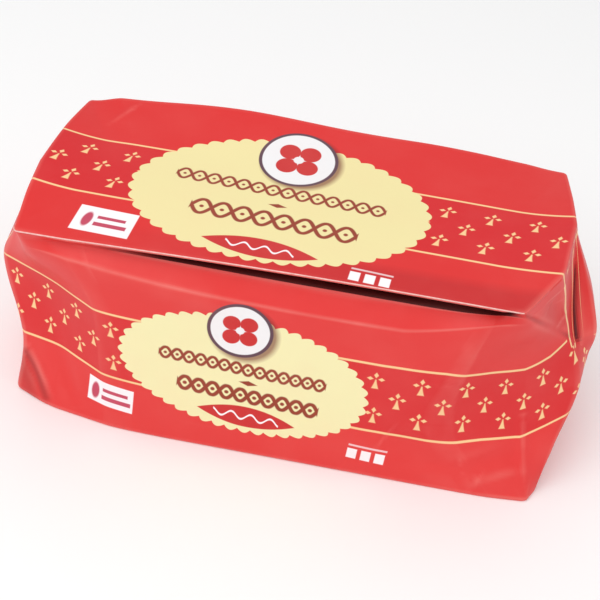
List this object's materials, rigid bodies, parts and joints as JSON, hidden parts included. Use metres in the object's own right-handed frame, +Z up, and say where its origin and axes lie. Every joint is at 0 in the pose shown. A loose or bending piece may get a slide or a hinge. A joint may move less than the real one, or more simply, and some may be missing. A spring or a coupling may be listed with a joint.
{
  "type": "wrapped butter block",
  "caption": "Block of butter wrapped in one printed paper sheet, with a slightly lifted long edge along the front and envelope-folded ends.",
  "frame": {"origin": "on the table, under the middle of the pack", "axes": "+X along the pack to the right as seen from the front, +Y to the back, +Z up"},
  "size_m": [0.1656, 0.0712, 0.0683],
  "materials": {
    "printed_paper": "satin printed greaseproof paper, red with cream and gold fields"
  },
  "bodies": {
    "root": {"wrapped_block": "printed_paper"}
  },
  "joints": []
}
